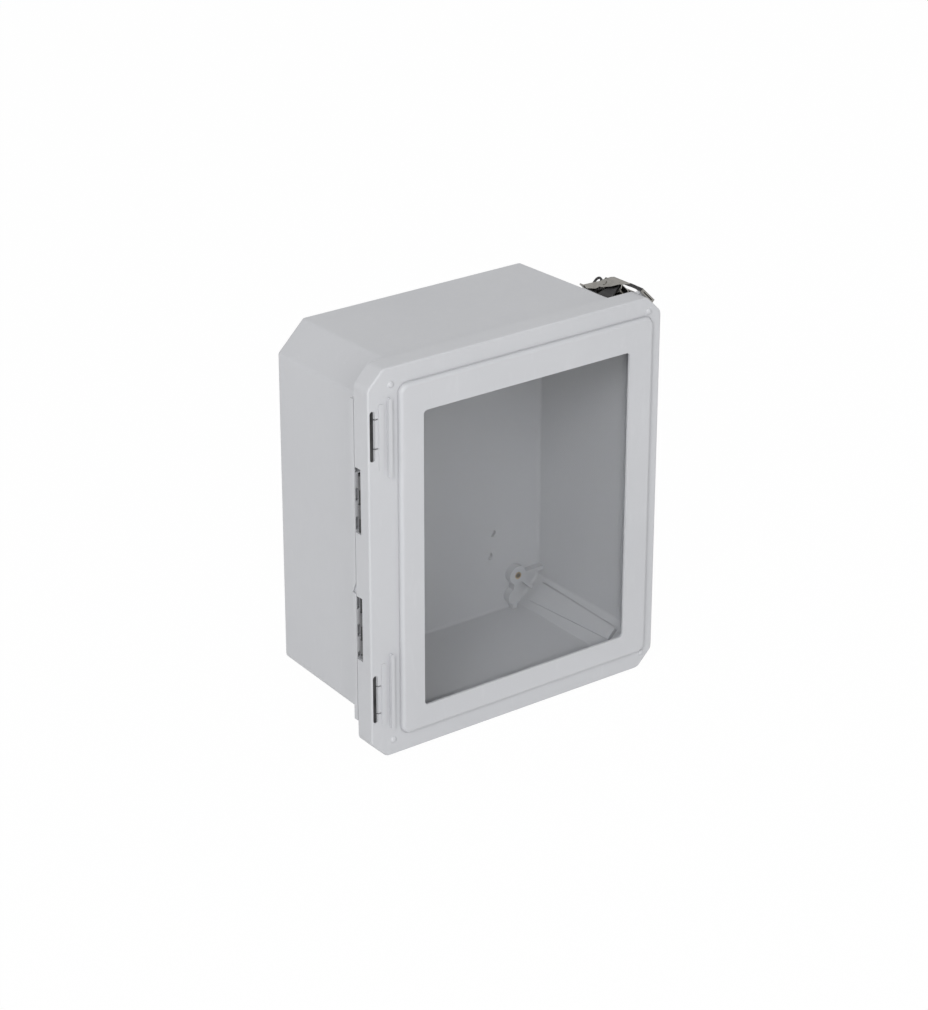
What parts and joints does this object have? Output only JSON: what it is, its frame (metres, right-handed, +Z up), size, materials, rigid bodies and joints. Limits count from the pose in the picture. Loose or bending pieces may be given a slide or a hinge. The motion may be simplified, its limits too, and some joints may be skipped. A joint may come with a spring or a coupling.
{
  "type": "windowed enclosure",
  "caption": "Wall-mounted moulded fiberglass enclosure with a hinged cover, a clear viewing window and toggle latches on its corners.",
  "frame": {"origin": "centre of the rectangle of rear mounting inserts, on the flat back face", "axes": "+Y out of the back towards the wall, -Y out of the cover towards the viewer, +X to the right of a viewer facing the cover, +Z up along the long side"},
  "size_m": [0.287, 0.1465, 0.3364],
  "materials": {
    "fiberglass": "fine moulded texture, satin",
    "pane": "clear, polished",
    "seal": "matt",
    "gasket": "matt foam",
    "steel": "plain stainless sheet",
    "brass": "machined"
  },
  "bodies": {
    "enclosure": {"enclosure_body": "fiberglass", "panel_inserts": "brass", "wall_inserts": "brass", "upper_hinge_box_leaf": "steel", "upper_hinge_pin": "steel", "upper_hinge_rivets": "steel", "upper_latch_base": "steel", "upper_latch_rivets": "steel", "upper_lever_pin": "steel", "lower_hinge_box_leaf": "steel", "lower_hinge_pin": "steel", "lower_hinge_rivets": "steel", "lower_latch_base": "steel", "lower_latch_rivets": "steel", "lower_lever_pin": "steel"},
    "door": {"cover": "fiberglass", "window_seal": "seal", "window_pane": "pane", "cover_gasket": "gasket", "upper_hinge_cover_leaf": "steel", "upper_hinge_retainers": "steel", "lower_hinge_cover_leaf": "steel", "lower_hinge_retainers": "steel"},
    "upper_lever": {"upper_latch_lever": "steel", "upper_hook_pin": "steel"},
    "upper_hook": {"upper_latch_hook": "steel"},
    "lower_lever": {"lower_latch_lever": "steel", "lower_hook_pin": "steel"},
    "lower_hook": {"lower_latch_hook": "steel"}
  },
  "joints": [
    {"name": "door_hinge", "type": "hinge", "parent": "enclosure", "child": "door", "pos_m": [-0.14211, -0.1285, 0], "axis": [0, 0, -1], "range_deg": [0, 120]},
    {"name": "upper_lever_pivot", "type": "hinge", "parent": "enclosure", "child": "upper_lever", "pos_m": [0.13161, -0.102, 0.15716], "axis": [0.7071, 0, -0.7071], "range_deg": [0, 110]},
    {"name": "upper_hook_pivot", "type": "hinge", "parent": "upper_lever", "child": "upper_hook", "pos_m": [0.13055, -0.091, 0.1561], "axis": [0.7071, 0, -0.7071], "range_deg": [-110, 0]},
    {"name": "lower_lever_pivot", "type": "hinge", "parent": "enclosure", "child": "lower_lever", "pos_m": [0.13161, -0.102, -0.15716], "axis": [-0.7071, 0, -0.7071], "range_deg": [0, 110]},
    {"name": "lower_hook_pivot", "type": "hinge", "parent": "lower_lever", "child": "lower_hook", "pos_m": [0.13055, -0.091, -0.1561], "axis": [-0.7071, 0, -0.7071], "range_deg": [-110, 0]}
  ],
  "couplings": [
    {"joint": "upper_hook_pivot", "follows": "upper_lever_pivot", "ratio": -1},
    {"joint": "lower_hook_pivot", "follows": "lower_lever_pivot", "ratio": -1}
  ]
}
